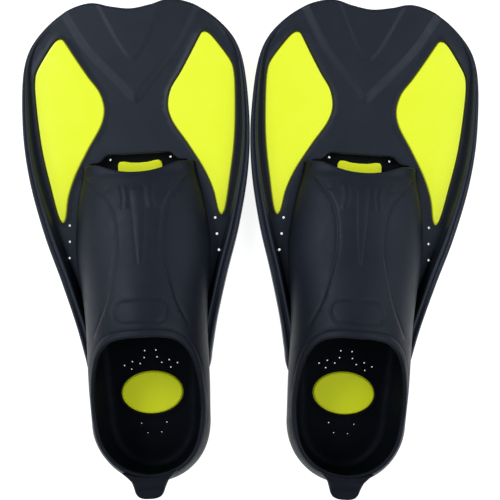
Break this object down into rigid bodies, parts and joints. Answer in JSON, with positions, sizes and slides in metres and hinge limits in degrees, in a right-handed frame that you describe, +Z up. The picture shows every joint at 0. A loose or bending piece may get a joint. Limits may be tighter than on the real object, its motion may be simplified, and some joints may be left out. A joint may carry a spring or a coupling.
{
  "type": "swim fins",
  "caption": "Pair of full-foot swim fins with flexing paddle blades, translucent lime panels, raised ribs, side rails, moulded foot pockets and pull tabs.",
  "frame": {"origin": "on the floor, under the middle of the pair's bounding box", "axes": "+Z up; +Y from the heels to the blade tips; +X across the pair, to the wearer's right as they look along the blades"},
  "size_m": [0.3942, 0.4202, 0.0852],
  "materials": {
    "pocket_rubber": "satin black thermoplastic rubber with a faint blue cast",
    "blade_rubber": "satin, slightly glossier than the pocket",
    "rail_rubber": "satin black",
    "sole_rubber": "matt black",
    "lime_panel": "glossy fluorescent lime",
    "lime_core": "satin fluorescent lime"
  },
  "bodies": {
    "left_foot": {"left_outsole": "sole_rubber", "left_sole_plate": "lime_core", "left_footbed": "sole_rubber", "left_heel_cup": "pocket_rubber", "left_vamp": "pocket_rubber", "left_cuff": "pocket_rubber", "left_badge": "pocket_rubber", "left_web_root": "blade_rubber", "left_outer_rail_root": "rail_rubber", "left_inner_rail_root": "rail_rubber", "left_outer_window_root": "lime_panel", "left_inner_window_root": "lime_panel"},
    "left_blade": {"left_blade_web": "blade_rubber", "left_v_panel": "blade_rubber", "left_outer_window": "lime_panel", "left_inner_window": "lime_panel", "left_outer_rail": "rail_rubber", "left_inner_rail": "rail_rubber"},
    "left_tab": {"left_heel_tab": "pocket_rubber"},
    "right_foot": {"right_outsole": "sole_rubber", "right_sole_plate": "lime_core", "right_footbed": "sole_rubber", "right_heel_cup": "pocket_rubber", "right_vamp": "pocket_rubber", "right_cuff": "pocket_rubber", "right_badge": "pocket_rubber", "right_web_root": "blade_rubber", "right_outer_rail_root": "rail_rubber", "right_inner_rail_root": "rail_rubber", "right_outer_window_root": "lime_panel", "right_inner_window_root": "lime_panel"},
    "right_blade": {"right_blade_web": "blade_rubber", "right_v_panel": "blade_rubber", "right_outer_window": "lime_panel", "right_inner_window": "lime_panel", "right_outer_rail": "rail_rubber", "right_inner_rail": "rail_rubber"},
    "right_tab": {"right_heel_tab": "pocket_rubber"}
  },
  "joints": [
    {"name": "left_blade_flex", "type": "hinge", "parent": "left_foot", "child": "left_blade", "pos_m": [-0.09694, 0.08272, 0.014], "axis": [0.9984, 0.0558, 0], "range_deg": [-25, 25], "stiffness_Nm_per_rad": 9},
    {"name": "left_tab_flex", "type": "hinge", "parent": "left_foot", "child": "left_tab", "pos_m": [-0.08128, -0.19734, 0.063], "axis": [-0.9984, -0.0558, 0], "range_deg": [-10, 60], "stiffness_Nm_per_rad": 0.3},
    {"name": "right_fin_lift", "type": "slide", "parent": "left_foot", "child": "right_foot", "axis": [0, 0, 1], "range_m": [0, 0.15]},
    {"name": "right_blade_flex", "type": "hinge", "parent": "right_foot", "child": "right_blade", "pos_m": [0.09624, 0.08173, 0.014], "axis": [0.9974, -0.0715, 0], "range_deg": [-25, 25], "stiffness_Nm_per_rad": 9},
    {"name": "right_tab_flex", "type": "hinge", "parent": "right_foot", "child": "right_tab", "pos_m": [0.07619, -0.19805, 0.063], "axis": [-0.9974, 0.0715, 0], "range_deg": [-10, 60], "stiffness_Nm_per_rad": 0.3}
  ]
}
